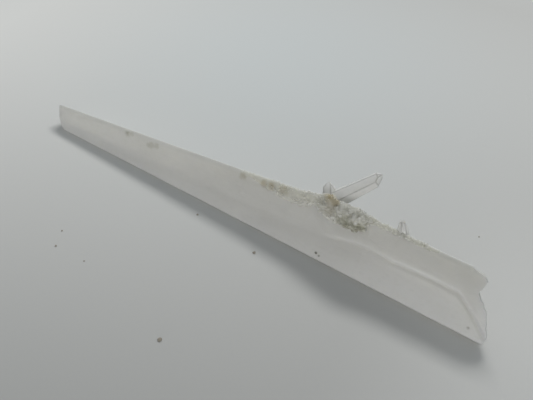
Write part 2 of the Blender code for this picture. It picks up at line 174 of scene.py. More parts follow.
# Stretches of druse along the top edge: from X, to X, count, lowest and highest place round the crust from
# its lower rim (0) to the back (1), narrowest and widest crystal, shortest and longest.
DRUSE = [
    (-1.0, 6.0, 20, 0.10, 0.80, 0.35, 0.8, 0.05, 0.25),
    (6.0, 19.0, 120, 0.00, 0.85, 0.4, 1.2, 0.12, 0.50),
    (19.5, 24.0, 70, 0.05, 0.95, 0.5, 1.5, 0.08, 0.40),
    (24.0, 31.2, 90, 0.05, 0.95, 0.7, 1.8, 0.08, 0.42),
    (31.2, 37.0, 30, 0.30, 0.90, 0.5, 1.3, 0.08, 0.40),
    (37.0, 45.0, 24, 0.40, 0.90, 0.4, 1.1, 0.05, 0.35),
]
DRUSE_SEED = 7
DRUSE_ROOT = 0.9

# ---- relief --------------------------------------------------------------------------------------
# Spacing of the rings along X, rows of the front face below, on and above the ledge's slope, and cells
# across the other faces.
STATION = 0.36
FRONT_ROWS = (22, 6, 26)
FACE_CELLS = {"top": 3, "upper_back": 24, "lower_back": 14, "bottom": 10, "under_front": 4}
# Relief dies out within this margin of a face's edges.
RELIEF_MARGIN = 1.5
# How far back the edges are worn, and how much further at chips and nicks.
EDGE_WEAR = 0.13
EDGE_CHIP = 0.45
EDGE_NICK = 0.22
CORNER_CUT = 0.27
# Height of the faces' broad waves, and the fine growth lines across them.
WAVE = 0.07
LINE_SEED = 12
LINE_COUNT = 70
# Pits: along X, up the front face, radius, depth.
PITS = [(-38.6, 7.45, 0.50, 0.25), (21.65, 1.38, 0.34, 0.20), (22.5, 1.0, 0.26, 0.14), (57.8, 1.85, 0.45, 0.10)]

# ---- finish --------------------------------------------------------------------------------------
QUARTZ_IOR = 1.544
# How far red, green and blue spread under the surface, against each other.
SPREAD_BY_COLOUR = (1.0, 1.0, 0.95)
# Size and height of the fine growth lines, and of the frosting of a natural face.
LINE_SIZE, LINE_RELIEF = 0.6, 0.03
FROST_SIZE, FROST_RELIEF = 0.25, 0.02
# Painted light: where along X the body is painted greyest, as shade from the crust over it, how near to it
# the painted light starts, and how far off it is full.
MOST_SHADED_X = 18
PAINTED_LIGHT_ENDS = (5.0, 55.0)
# Painted light along the foot of the front face, from and to up it; and in its wide lower corner, along X and
# up.
PAINTED_LIGHT_FOOT = (6.5, 0.0)
PAINTED_LIGHT_CORNER = ((22.0, 48.0), (9.0, 4.0))
# Painted shade under the upper edge, a narrow band and a wider one near the wide end: from and to below it,
# then from and to along X with how strong each is there.
PAINTED_RIM_SHADE_BAND = ((1.6, 0.3), (-10.0, 45.0, 0.45, 0.6))
PAINTED_RIM_SHADE_WIDE = ((8.0, 1.0), (35.0, 48.0, 0.0, 0.3))
# Painted highlight on the ledge's crest and painted shade at its foot: how far over it each runs, and its
# reach; where along X they grow.
CREST_UP = 1.0
CREST_REACH = (0.9, 0.2)
FOOT_UP = -0.1
FOOT_REACH = (0.6, 0.1)
LEDGE_SHOWS = (30.0, 45.0, 0.1, 1.0)
# How strongly each veil, and each painted light and shade, shows in the colour.
CLOUD_SHARE = 0.25
PAINTED_LIGHT_SHARE = 0.85
WISP_SHARE = 0.35
SPECK_SHARE = 0.12
CREST_HIGHLIGHT_SHARE = 0.45
FOOT_SHADE_SHARE = 0.35
# Clay and iron staining, and painted shade: along X, up the front face, proud of it, reach, grain, strength.
RUST_STAINS = [(21.1, 15.0, 0.8, 2.0, 1.5, 1.0), (22.7, 14.6, 0.8, 1.5, 1.2, 0.85),
               (24.1, 12.9, 0.9, 0.9, 1.0, 0.7), (22.0, 12.7, 0.8, 2.4, 1.2, 0.4),
               (-1.8, 10.4, 0.1, 1.5, 0.8, 0.4), (4.2, 10.9, 0.2, 1.5, 0.8, 0.5),
               (6.2, 11.3, 0.2, 1.5, 0.8, 0.5), (9.5, 11.8, 0.4, 1.8, 0.9, 0.35)]
OLIVE_STAINS = [(17.8, 14.0, 0.4, 0.8, 0.4, 0.5), (19.6, 12.4, 0.6, 2.0, 0.9, 0.25),
                (25.0, 11.6, 1.2, 1.9, 1.2, 0.65), (26.8, 11.6, 1.4, 2.2, 1.2, 0.75),
                (28.6, 11.6, 1.4, 2.2, 1.2, 0.8), (30.1, 12.0, 1.4, 1.9, 1.2, 0.85),
                (26.0, 14.6, 0.6, 0.9, 0.9, 0.4), (27.6, 14.2, 0.6, 1.0, 0.9, 0.4),
                (32.3, 14.8, 0.4, 1.3, 0.6, 0.5), (34.6, 15.0, 0.4, 1.4, 0.6, 0.4),
                (36.6, 15.0, 0.4, 1.2, 0.6, 0.4), (43.5, 14.9, 0.2, 1.0, 0.6, 0.3),
                (-38.3, 7.3, 0.0, 1.4, 0.6, 0.4), (-36.8, 7.6, 0.0, 1.0, 0.6, 0.25),
                (-31.0, 6.9, 0.0, 0.9, 0.6, 0.3), (-30.0, 7.2, 0.0, 1.3, 0.6, 0.35),
                (-28.4, 7.6, 0.0, 1.2, 0.6, 0.35)]
# Painted shade and clay under the cluster's overhanging lower rim (the first four), and darker pits (the last
# three).
CLUSTER_SHADE_AND_PIT_MARKS = [(25.0, 10.7, 1.6, 1.2, 1.5, 0.55), (26.6, 10.7, 1.8, 1.3, 1.5, 0.65),
               (28.2, 10.7, 1.9, 1.4, 1.5, 0.75), (29.8, 11.0, 1.9, 1.5, 1.5, 0.8),
               (21.65, 1.38, 0.0, 0.5, 0.25, 1.0), (22.5, 1.0, 0.0, 0.4, 0.25, 0.6),
               (57.8, 1.85, 0.0, 0.5, 0.3, 0.4)]
RUST = (0.40, 0.35, 0.24, 1)
OLIVE = (0.42, 0.415, 0.33, 1)
# Colour of the painted shade and clay under the cluster, and of the darker pits.
SHADE_AND_PIT_DARK = (0.24, 0.23, 0.175, 1)
# Grey of the specks, and of the painted shade at the ledge's foot.
DULL = (0.62, 0.62, 0.58, 1)
# Colour of the painted highlight on the ledge's crest.
CREST_HIGHLIGHT = (0.95, 0.95, 0.93, 1)

# ---- floor ---------------------------------------------------------------------------------------
FLOOR_REACH = 900
FLOOR_COLOUR = (0.58, 0.58, 0.565, 1)
# Colour where the floor is painted coolest, as a cool tint of the light.
FLOOR_COOL_LIGHT_COLOUR = (0.565, 0.59, 0.59, 1)
# Painted light on the floor, how bright it is over its place in decimetres. Beyond the edges it stays as it is
# there.
FLOOR_LIGHT_LEVEL = 0.111
FLOOR_LIGHT_ALONG_X = -0.159
FLOOR_LIGHT_ALONG_Y = 0.175
FLOOR_LIGHT_BEND_X = 0.07
FLOOR_LIGHT_TWIST = 0.201
FLOOR_LIGHT_BEND_Y = -0.224
FLOOR_LIGHT_EDGES_X = (-1.2, 0.9)
FLOOR_LIGHT_EDGES_Y = (-0.8, 1.3)
# Painted light: the floor is painted coolest round a middle, and lighter towards +X and -Y: from and to along
# each, and how much.
COOL_LIGHT_MIDDLE = (-0.25, 0.6)
LIT_CORNER = ((0.35, 0.75), (0.5, -0.1))
CORNER_LIGHT = 0.2
# Crumbs: place on the floor, and size.
CRUMBS = [(-33.4, -30.2, 0.22), (-31.1, -34.4, 0.24), (-22.3, -34.1, 0.16), (-9.6, -8.3, 0.26),
          (8.8, -10.8, 0.36), (5.7, -40.8, 0.5), (50.6, 22.4, 0.18)]
CRUMB_COLOUR = (0.33, 0.30, 0.25, 1)

# ---- light and camera ----------------------------------------------------------------------------
# Window light: azimuth, elevation, distance, and how far it is moved along X; its width, height and power.
WINDOW = (-5, 48.3, 450)
WINDOW_ASIDE = -60
WINDOW_SIZE = (220, 72)
WINDOW_POWER = 0.985
# Weak light from the room in front, low over the floor.
ROOM = (160, 3.3, 500)
ROOM_SIZE = (700, 54)
ROOM_POWER = 1.16
DAYLIGHT = (0.935, 0.99, 1.02, 1)
# Darkest and brightest strength of the daylight, and where it is brightest: azimuth and elevation.
DAYLIGHT_STRENGTH = (0.02, 0.42)
BRIGHT_SKY = (10, 55)
CAMERA_PLACE = Vector((65.44, -91.28, 113.85))
CAMERA_AZIMUTH = 33.20
CAMERA_ELEVATION = 45.0
CAMERA_LENS = 43.456


# ==== shape of the long crystal ===================================================================
def share_of(value, low, high):
    """How far a value lies from low (0) to high (1)."""
    return min(1.0, max(0.0, (value - low) / (high - low)))


def ramp(value, low, high):
    """0 below low, 1 above high, and a smooth curve between them."""
    share = share_of(value, low, high)
    return share * share * (3 - 2 * share)


def steps(start, stop, count):
    """Even places from start to stop, with both ends."""
    return [start + (stop - start) * i / count for i in range(count + 1)]


def read_curve(points, at):
    """Height of a line through points at a place along it."""
    for (x0, y0), (x1, y1) in zip(points, points[1:]):
        if at <= x1:
            break
    return y0 + (y1 - y0) * share_of(at, x0, x1)


def outward(face):
    """Direction square to the X axis in which a long face looks."""
    angle = math.radians(LONG_FACES[face])
    return Vector((0, math.cos(angle), math.sin(angle)))


def front_edge(x):
    """Point of the sharp lower edge of the front face at x."""
    share = (x - TIP_X) / (END_X - TIP_X)
    return FRONT_EDGE_AT_TIP.lerp(FRONT_EDGE_AT_END, share)


def front_width(x):
    """Width of the broad front face at x: it grows from the tip to the swell, then stays nearly even."""
    if x < SWELL_X:
        share = (x - TIP_X) / (SWELL_X - TIP_X)
        return FRONT_WIDTH_AT_TIP + (FRONT_WIDTH_AT_SWELL - FRONT_WIDTH_AT_TIP) * share
    share = (x - SWELL_X) / (END_X - SWELL_X)
    return FRONT_WIDTH_AT_SWELL + (FRONT_WIDTH_AT_END - FRONT_WIDTH_AT_SWELL) * share


def on_front(x, up, proud):
    """Point of the front face: x along it, up from its lower edge, and proud of it."""
    return front_edge(x) + ACROSS * up + FRONT_NORMAL * proud


def growth(face, x):
    """How far the overgrowth has moved a long face out at x."""
    if face not in OVERGROWTH:
        return 0.0
    start, degrees = OVERGROWTH_START[face]
    return min(OVERGROWTH[face], max(0.0, math.tan(math.radians(degrees)) * (x - start)))


def ledge_up(x):
    """How far up the front face the ledge runs at x."""
    wander = LEDGE_WANDER * noise.noise(Vector((x * 0.35, 0, 8)))
    return read_curve(LEDGE, x) * min(1.0, front_width(x) / front_width(LEDGE[0][0])) + wander


def ledge_slant(x):
    """Cosine of the ledge's slant against the crystal's length."""
    rise = ledge_up(x + 0.5) - ledge_up(x - 0.5)
    return 1 / math.hypot(1, rise)


def front_growth(x, up):
    """Height of the front face's growth layers at x and up."""
    start, degrees = OVERGROWTH_START["front"]
    past = (x - start) + FRONT_START_SKEW * (up - FRONT_START_UP * front_width(x))
    past = past / math.hypot(1, FRONT_START_SKEW)
    grown = OVERGROWTH["front"] * ramp(past, -0.4, OVERGROWTH["front"] / math.tan(math.radians(degrees)))
    over = (up - ledge_up(x)) * ledge_slant(x)
    risen = ramp(over, *RISER)
    lip = LIP_RISE * (risen - ramp(over, RISER[1], RISER[1] + read_curve(LIP_WIDTH, x)))
    lip *= 1 + LIP_WANDER * noise.noise(Vector((x * 0.25, 0, 4)))
    second = x - read_curve(SECOND_LAYER, up)
    faded = ramp(-up, *(-height for height in SECOND_LAYER_FADES_BELOW))
    slope = SECOND_LAYER_SLOPE + SECOND_LAYER_FADE * faded
    layer = SECOND_LAYER_RISE * ramp(second, -0.1, slope) * risen
    return grown * risen + lip * grown / OVERGROWTH["front"] + layer


def corners(x):
    """Six corners of the grown crystal at x, from the front edge round over the top."""
    down = Vector((0, 0.5, -HEX_RISE))
    width = front_width(x)
    front = front_edge(x)
    under = front.z / HEX_RISE
    upper = front + ACROSS * width
    ridge = upper + Vector((0, TOP_SHARE * width, 0))
    back = ridge + down * (BACK_SHARE * width)
    foot = back - ACROSS * (width + under - BACK_SHARE * width)
    toe = front + down * under
    out = {face: growth(face, x) for face in FACE_NAMES}
    out["front"] = front_growth(x, width)
    moved = [front]
    for corner, before, after in zip((upper, ridge, back, foot), FACE_NAMES, FACE_NAMES[1:]):
        moved.append(corner + corner_shift(before, after, out[before], out[after]))
    return moved + [toe]


def corner_shift(before, after, out_before, out_after):
    """Move of a corner whose two faces, 60 degrees apart, move out by their own growth."""
    a, b = outward(before), outward(after)
    cosine = a.dot(b)
    move = a * (out_before - out_after * cosine) + b * (out_after - out_before * cosine)
    return move / (1 - cosine * cosine)


def rim_up(x):
    """How far up the front face its upper edge lies at x, with the overgrowth."""
    return (corners(x)[1] - front_edge(x)).dot(ACROSS)


# ---- fine relief ---------------------------------------------------------------------------------
def growth_lines():
    """Fine steps across a prism face: place along X, from and to as shares of its width, rise, softness."""
    chance = random.Random(LINE_SEED)
    lines = {}
    for face in FACE_NAMES:
        lines[face] = []
        for _ in range(LINE_COUNT):
            x = chance.uniform(TIP_X, END_X)
            middle = chance.uniform(0, 1)
            reach = chance.uniform(0.08, 0.45)
            rise = chance.uniform(0.012, 0.045)
            length = chance.choice((0.6, 1.2, 2.5, 6.0))
            lines[face].append((x, middle - reach, middle + reach, rise, length))
    return lines


LINES = growth_lines()


def relief(face, x, share, near_corner):
    """Fine relief of a long face. It dies out towards the face's edges."""
    spot = Vector((x * 0.09, share * 1.6 + LONG_FACES[face], 0.0))
    height = WAVE * noise.noise(spot) + 0.35 * WAVE * noise.noise(spot * 3.7)
    for start, low, high, rise, length in LINES[face]:
        if 0 < x - start < length and low < share < high:
            side = ramp(min(share - low, high - share), 0.0, 0.05)
            height += rise * side * (1 - (x - start) / length) * ramp(x - start, 0.0, 0.25)
    return height * near_corner


def pit_depth(x, up):
    """Depth of the small pits in the front face."""
    depth = 0.0
    for pit_x, pit_up, radius, deep in PITS:
        away = math.hypot(x - pit_x, (up - pit_up) * 1.2) / radius
        ragged = away * (1 + 0.25 * noise.noise(Vector((x * 3, up * 3, pit_x))))
        depth = max(depth, deep * ramp(-ragged, -1.0, -0.35))
    return depth


def edge_wear(x, corner):
    """How far back from a corner its rounding starts: worn a little everywhere, and chipped in places."""
    wear = EDGE_WEAR * (1 + 0.6 * noise.noise(Vector((x * 0.8, corner * 7.3, 0))))
    chip = ramp(noise.noise(Vector((x * 0.42, corner * 11.7, 5))), 0.42, 0.62)
    nick = ramp(noise.noise(Vector((x * 1.9, corner * 3.1, 9))), 0.45, 0.6)
    return wear + EDGE_CHIP * chip + EDGE_NICK * nick


# ---- surface grid --------------------------------------------------------------------------------
def front_rows(x, low_end, high_end):
    """Places up the front face at x: rows gather on the ledge's riser."""
    slant = ledge_slant(x)
    riser_low = ledge_up(x) + RISER[0] / slant
    riser_high = ledge_up(x) + RISER[1] / slant
    riser_low = min(max(riser_low, low_end + 0.2), high_end - 2.0)
    riser_high = min(max(riser_high, riser_low + 0.2), high_end - 1.0)
    stops = (low_end, riser_low, riser_high, high_end)
    rows = []
    for start, stop, count in zip(stops, stops[1:], FRONT_ROWS):
        rows += steps(start, stop, count)[:-1]
    return rows + [high_end]


def ring(x):
    """Points round the long crystal at x, with worn corners and relief on every face."""
    points = []
    spots = corners(x)
    for i, face in enumerate(FACE_NAMES):
        start, stop = spots[i], spots[(i + 1) % 6]
        length = (stop - start).length
        wear = min(edge_wear(x, i), 0.3 * length)
        next_wear = min(edge_wear(x, (i + 1) % 6), 0.3 * length)
        inward = ((spots[i - 1] - start).normalized() + (stop - start).normalized()).normalized()
        points.append(start + inward * CORNER_CUT * wear)
        if face == "front":
            top_up = front_width(x) + (stop - on_front(x, front_width(x), 0)).dot(ACROSS)
            for up in front_rows(x, wear, top_up - next_wear):
                near = min(1.0, up / RELIEF_MARGIN, (top_up - up) / RELIEF_MARGIN)
                proud = front_growth(x, up) + relief(face, x, up / top_up, near) - pit_depth(x, up)
                points.append(on_front(x, up, proud))
            continue
        count = FACE_CELLS[face]
        for j in range(count + 1):
            share = (wear + (length - wear - next_wear) * j / count) / length
            near = min(1.0, share * length / RELIEF_MARGIN, (1 - share) * length / RELIEF_MARGIN)
            height = relief(face, x, share, near) if face != "bottom" else 0.0
            points.append(start.lerp(stop, share) + outward(face) * height)
    return points


def new_object(name, bm):
    """Turn a bmesh in millimetres of the crystal's coordinates into an object of the frame, in metres."""
    bmesh.ops.recalc_face_normals(bm, faces=bm.faces[:])
    for vert in bm.verts:
        vert.co = (vert.co - ORIGIN) * MM
    mesh = bpy.data.meshes.new(name)
    bm.to_mesh(mesh)
    bm.free()
    obj = bpy.data.objects.new(name, mesh)
    bpy.context.scene.collection.objects.link(obj)
    return obj


def loft(rings):
    """Closed body through rings of points, with a flat cap on both ends."""
    bm = bmesh.new()
    loops = [[bm.verts.new(spot) for spot in points] for points in rings]
    for near, far in zip(loops, loops[1:]):
        for j in range(len(near)):
            k = (j + 1) % len(near)
            bm.faces.new((near[j], near[k], far[k], far[j]))
    bm.faces.new(loops[0])
    bm.faces.new(loops[-1])
    return bm


def cut_away(bm, planes):
    """Cut a body by planes, each a point and an outward normal, and close every cut."""
    for point, normal in planes:
        geometry = bm.verts[:] + bm.edges[:] + bm.faces[:]
        cut = bmesh.ops.bisect_plane(bm, geom=geometry, dist=1e-5, plane_co=point, plane_no=normal,
                                     clear_outer=True)
        rim = [item for item in cut["geom_cut"] if isinstance(item, bmesh.types.BMEdge)]
        if len(rim) > 2:
            bmesh.ops.contextual_create(bm, geom=rim)
    return bm


def turned_plane(line, degrees, setback=Vector((0, 0, 0))):
    """Plane through a line on the front face, turned about it from the front face towards the tip."""
    low, high = (on_front(x, up, 0) for x, up in line)
    across = FRONT_NORMAL.cross((high - low).normalized())
    angle = math.radians(degrees)
    return low + setback, FRONT_NORMAL * math.cos(angle) + across * math.sin(angle)


def tip_faces():
    """Narrow sloping facet at the tip and the blunt end behind it."""
    point, facet = turned_plane(TIP_LINE, TIP_FACET_TURN)
    low, high = (on_front(x, up, 0) for x, up in TIP_LINE)
    down_the_facet = facet.cross(high - low).normalized() * TIP_FACET_LENGTH
    return [(point, facet), turned_plane(TIP_LINE, TIP_END_TURN, down_the_facet),
            turned_plane(TIP_CORNER, TIP_CORNER_TURN)]


def long_crystal():
    """The long crystal with its overgrowth, whole at its wide end."""
    start, stop = TIP_X - SPARE_AT_TIP, END_X + SPARE_AT_END
    count = round((stop - start) / STATION)
    rings = [ring(x) for x in steps(start, stop, count)]
    return new_object("long_crystal", cut_away(loft(rings), tip_faces()))


# ==== broken end ==================================================================================
def break_x(up):
    """Where the break's outline lies at a distance up the front face, read as a smooth curve."""
    for (u0, x0), (u1, x1) in zip(BREAK_OUTLINE, BREAK_OUTLINE[1:]):
        if up <= u1:
            return x0 + (x1 - x0) * ramp(up, u0, u1)
    return BREAK_OUTLINE[-1][1]


def break_point(up, depth):
    """Point of the broken surface: it leans back behind the front face and is rippled like a shell."""
    inside = share_of(depth, 0, 2)
    away = math.hypot(up - BREAK_HEART[0], depth - BREAK_HEART[1])
    warp = noise.noise(Vector((up * 0.22, depth * 0.22, 6)))
    strength = 0.4 + 0.6 * noise.noise(Vector((up * 0.3, depth * 0.3, 1)))
    ripple = BREAK_RIPPLE * math.sin(1.5 * away + 4 * warp) * strength
    bowl = BREAK_BOWL * math.sin(up * 0.38 + 0.8) * share_of(depth, 0, 4)
    bowl += BREAK_WARP * warp * inside
    rough = BREAK_ROUGHNESS * noise.noise(Vector((depth * 0.9, up * 0.9, 2))) * share_of(depth, 0, 1)
    x = break_x(up) - BREAK_LEAN * max(0.0, depth) + ripple * inside + bowl + rough
    return on_front(x, up, -depth)


def end_break():
    """Solid that breaks the wide end off along a rippled surface."""
    bm = bmesh.new()
    bmesh.ops.create_grid(bm, x_segments=BREAK_ROWS, y_segments=BREAK_COLUMNS, size=1.0)
    for vert in bm.verts:
        up = BREAK_UP[0] + (BREAK_UP[1] - BREAK_UP[0]) * (vert.co.x + 1) / 2
        depth = BREAK_IN[0] + (BREAK_IN[1] - BREAK_IN[0]) * (vert.co.y + 1) / 2
        vert.co = break_point(up, depth)
    body = bmesh.ops.extrude_face_region(bm, geom=bm.faces[:])
    for item in body["geom"]:
        if isinstance(item, bmesh.types.BMVert):
            item.co.x = END_X + 20
    return new_object("end_break", bm)


# ==== small crystals ==============================================================================
def small_crystal(root, apex, widths, off_centre, off_way, roll, end_turn):
    """One six-sided crystal from its root to its apex: six tapering sides and six end faces."""
    axis = (apex - root).normalized()
    length = (apex - root).length
    side = axis.orthogonal().normalized()
    other = axis.cross(side)
    taper = (widths[0] - widths[1]) / 2 / length
    steep = math.radians(end_turn)
    planes = [(root, -axis)]
    for i in range(6):
        turn = math.radians(roll + 60 * i)
        radial = side * math.cos(turn) + other * math.sin(turn)
        planes.append((root + radial * widths[0] / 2, (radial + axis * taper).normalized()))
        aside = off_centre * widths[1] * math.cos(turn - math.radians(off_way))
        set_out = radial * (aside + SMALLER_FACE * widths[1] * (i % 2))
        planes.append((apex + set_out, radial * math.sin(steep) + axis * math.cos(steep)))
    bm = bmesh.new()
    bmesh.ops.create_cube(bm, size=4 * length)
    bmesh.ops.translate(bm, verts=bm.verts[:], vec=root)
    return cut_away(bm, planes)


def side_crystals():
    """The larger crystals that stand out of the crust."""
    bodies = []
    for name, (root, apex, root_width, shoulder_width, *shape) in SIDE_CRYSTALS.items():
        bm = small_crystal(Vector(root), Vector(apex), (root_width, shoulder_width), *shape)
        bmesh.ops.bevel(bm, geom=bm.edges[:], offset=EDGE_ROUND, segments=2, affect="EDGES", material=1)
        bodies.append(new_object(name + "_side_crystal", bm))
    return bodies


# ==== crust =======================================================================================
def crust_profile(x):
    """Lower rim of the crust at x, and its thickness on the front face and on the top face."""
    for (x0, *near), (x1, *far) in zip(CRUST, CRUST[1:]):
        if x <= x1:
            break
    share = share_of(x, x0, x1)
    return [a + (b - a) * share for a, b in zip(near, far)]


def crust_path(x, share):
    """Point under the crust and the direction in which it grows there, from its lower rim to the back."""
    rim = crust_profile(x)[0]
    spots = corners(x)
    upper, ridge = spots[1], spots[2]
    low_up = (rim + CRUST_RIM_WANDER * noise.noise(Vector((x * 0.8, 0, 3)))) * front_width(x)
    low = on_front(x, low_up, front_growth(x, low_up))
    behind = ridge + (spots[3] - ridge).normalized() * CRUST_BEHIND
    lengths = ((upper - low).length, (ridge - upper).length, (behind - ridge).length)
    place = share * sum(lengths)
    if place < lengths[0]:
        point = low.lerp(upper, place / lengths[0])
    elif place < lengths[0] + lengths[1]:
        point = upper.lerp(ridge, (place - lengths[0]) / lengths[1])
    else:
        point = ridge.lerp(behind, (place - lengths[0] - lengths[1]) / lengths[2])
    turn_back = lengths[0] + lengths[1]
    to_top = ramp(place, lengths[0] - CRUST_TURN, lengths[0] + CRUST_TURN)
    to_back = ramp(place, turn_back - CRUST_TURN, turn_back + CRUST_TURN)
    way = FRONT_NORMAL.lerp(Vector((0, 0, 1)), to_top).lerp(outward("upper_back"), 0.8 * to_back)
    return point, way.normalized(), to_top


def crust_surface(x, share):
    """Point of the crust's rough outer surface, and the direction in which it grows there."""
    point, way, to_top = crust_path(x, share)
    front_thick, top_thick = crust_profile(x)[1:]
    thick = front_thick + (top_thick - front_thick) * to_top
    rim_rise = 0.15 + 0.85 * ramp(share, -0.02, 0.12)
    lump = 1 + CRUST_LUMPS * noise.noise(Vector((x * 0.55, share * 3.0, 1)))
    distances = noise.voronoi((point + way * thick) / GRAIN)[0]
    grains = 0.35 * (0.75 - distances[0]) + 0.12 * noise.noise(point * 3.1)
    height = thick * rim_rise * (lump + grains * CRUST_GRAINS)
    return point + way * max(0.02, height), way


def crust():
    """Rough crust along the top edge."""
    start, stop = CRUST[0][0], CRUST[-1][0]
    count = round((stop - start) / CRUST_STEP)
    rings = []
    for x in steps(start, stop, count):
        points = [crust_surface(x, j / (CRUST_POINTS - 1))[0] for j in range(CRUST_POINTS)]
        first, first_way, _ = crust_path(x, 0.0)
        last = crust_path(x, 1.0)[0]
        spots = corners(x)
        deep = (first + last) / 2 - Vector((0, -0.4, CRUST_DEPTH))
        points += [last - outward("upper_back") * 0.3, deep, first + ACROSS * 0.2 - first_way * 0.5]
        rings.append(points)
    return new_object("crust", loft(rings))


def druse():
    """Tiny crystals all over the crust, in a collection of their own until they are joined."""
    chance = random.Random(DRUSE_SEED)
    group = bpy.data.collections.new("tiny_crystals")
    for start, stop, count, low, high, narrow, wide, short, tall in DRUSE:
        for i in range(count):
            x = start + (stop - start) * (i + chance.random()) / count
            point, way = crust_surface(x, chance.uniform(low, high))
            tilt = Vector((chance.uniform(-0.6, 0.6), chance.uniform(-0.5, 0.5), chance.uniform(-0.4, 0.5)))
            axis = (way + tilt).normalized()
            size = narrow + (wide - narrow) * chance.random() ** 2
            apex = point + axis * chance.uniform(short, tall) * (0.6 + 0.5 * size)
            root = point - axis * DRUSE_ROOT
            turn = chance.choice((END_FACE_TURN, END_FACE_TURN, SHARP_FACE_TURN))
            bm = small_crystal(root, apex, (size, size * 0.85), chance.uniform(0, 0.3), chance.uniform(0, 360),
                               chance.uniform(0, 60), turn)
            tiny = new_object("tiny_crystal", bm)
            bpy.context.scene.collection.objects.unlink(tiny)
            group.objects.link(tiny)
    return group


# ==== joining =====================================================================================
def finished(obj):
    """Mesh of an object with its modifiers applied."""
    return bpy.data.meshes.new_from_object(obj.evaluated_get(bpy.context.evaluated_depsgraph_get()))


def boolean(body, other, operation):
    """Join another body, or a collection of them, to a body, or cut it away."""
    modifier = body.modifiers.new("join", "BOOLEAN")
    modifier.operation = operation
    modifier.solver = "MANIFOLD"
    if isinstance(other, bpy.types.Collection):
        modifier.operand_type = "COLLECTION"
        modifier.collection = other
        bodies = list(other.objects)
    else:
        modifier.object = other
        bodies = [other]
    joined = finished(body)
    body.modifiers.remove(modifier)
    body.data = joined
    for used in bodies:
        bpy.data.objects.remove(used)


def dress(target, materials, index, edge_index=None):
    """Give an object or a collection of objects all materials, one of them on its faces, and perhaps
    another on the faces that round its edges."""
    for obj in (target.objects if isinstance(target, bpy.types.Collection) else [target]):
        for material in materials:
            obj.data.materials.append(material)
        for face in obj.data.polygons:
            rounding = edge_index is not None and face.material_index == 1
            face.material_index = edge_index if rounding else index


# ==== materials ===================================================================================
# Node groups that the materials share, by a short name.
GROUPS = {}


def new_group(name, outputs, inputs=()):
    """Make a shader node group, and return it with its nodes, what it is given and what it puts out."""
    group = bpy.data.node_groups.new(name, "ShaderNodeTree")
    for socket, kind, value in inputs:
        made = group.interface.new_socket(socket, in_out="INPUT", socket_type="NodeSocket" + kind)
        made.default_value = value
    for socket in outputs:
        group.interface.new_socket(socket, in_out="OUTPUT", socket_type="NodeSocketFloat")
    given, out = group.nodes.new("NodeGroupInput"), group.nodes.new("NodeGroupOutput")
    return group, Nodes(group), given.outputs, out.inputs


def new_material(name):
    """Make a material, and return it with its nodes and its shader's inputs."""
    material = bpy.data.materials.new(name)
    material.use_nodes = True
    return material, Nodes(material.node_tree), material.node_tree.nodes["Principled BSDF"].inputs


class Nodes:
    """Short ways to add and join nodes in one tree."""

    def __init__(self, tree):
        self.tree = tree

    def add(self, kind, group=None, **values):
        """Add a node, perhaps with one of the shared groups in it, and with its inputs by name."""
        node = self.tree.nodes.new("ShaderNode" + kind)
        if group:
            node.node_tree = GROUPS[group]
        for key, value in values.items():
            self.feed(node.inputs[key], value)
        return node

    def feed(self, socket, value):
        """Set a socket to a plain value, or join another socket to it."""
        if isinstance(value, bpy.types.NodeSocket):
            self.tree.links.new(value, socket)
        else:
            socket.default_value = value

    def math(self, operation, *values):
        """Result of one arithmetic node."""
        node = self.add("Math")
        node.operation = operation
        for socket, value in zip(node.inputs, values):
            self.feed(socket, value)
        return node.outputs[0]

    def spread(self, value, low, high, to_low=0.0, to_high=1.0):
        """Stretch a range of a value to another range, with soft ends."""
        node = self.add("MapRange")
        node.interpolation_type = "SMOOTHSTEP"
        for socket, setting in zip(("Value", "From Min", "From Max", "To Min", "To Max"),
                                   (value, low, high, to_low, to_high)):
            self.feed(node.inputs[socket], setting)
        return node.outputs["Result"]

    def line(self, value, low, high, to_low, to_high):
        """Straight line through two pairs of numbers, going on past both."""
        slope = (to_high - to_low) / (high - low)
        return self.math("ADD", self.math("MULTIPLY", value, slope), to_low - low * slope)

    def curve(self, value, points):
        """Height of a line through points at a value."""
        low, high = points[0][0], points[-1][0]
        top = max(height for _, height in points)
        node = self.add("FloatCurve")
        curve = node.mapping.curves[0]
        for start, height in points[1:-1]:
            curve.points.new((start - low) / (high - low), height / top)
        curve.points[0].location = (0.0, points[0][1] / top)
        curve.points[-1].location = (1.0, points[-1][1] / top)
        for point in curve.points:
            point.handle_type = "VECTOR"
        node.mapping.update()
        self.feed(node.inputs["Value"], self.line(value, low, high, 0.0, 1.0))
        return self.math("MULTIPLY", node.outputs["Value"], top)

    def mix(self, share, first, second, blend="MIX"):
        """Mix two colours."""
        node = self.add("Mix")
        node.data_type = "RGBA"
        node.blend_type = blend
        for socket, value in zip((node.inputs[0], node.inputs[6], node.inputs[7]), (share, first, second)):
            self.feed(socket, value)
        return node.outputs[2]

    def millimetres(self, stretch=(1, 1, 1)):
        """Place on the object in millimetres of the frame, each axis stretched by its own number."""
        place = self.add("TexCoord").outputs["Object"]
        scale = [share / MM for share in stretch]
        return self.add("Mapping", Vector=place, Scale=scale).outputs["Vector"]

    def noise(self, place, size, detail=3.0, rough=0.55, warp=0.0):
        """Cloudy noise whose lumps are about size millimetres."""
        node = self.add("TexNoise", Vector=place, Scale=self.math("DIVIDE", 1.0, size), Detail=detail,
                        Roughness=rough, Distortion=warp)
        return node.outputs["Fac"]


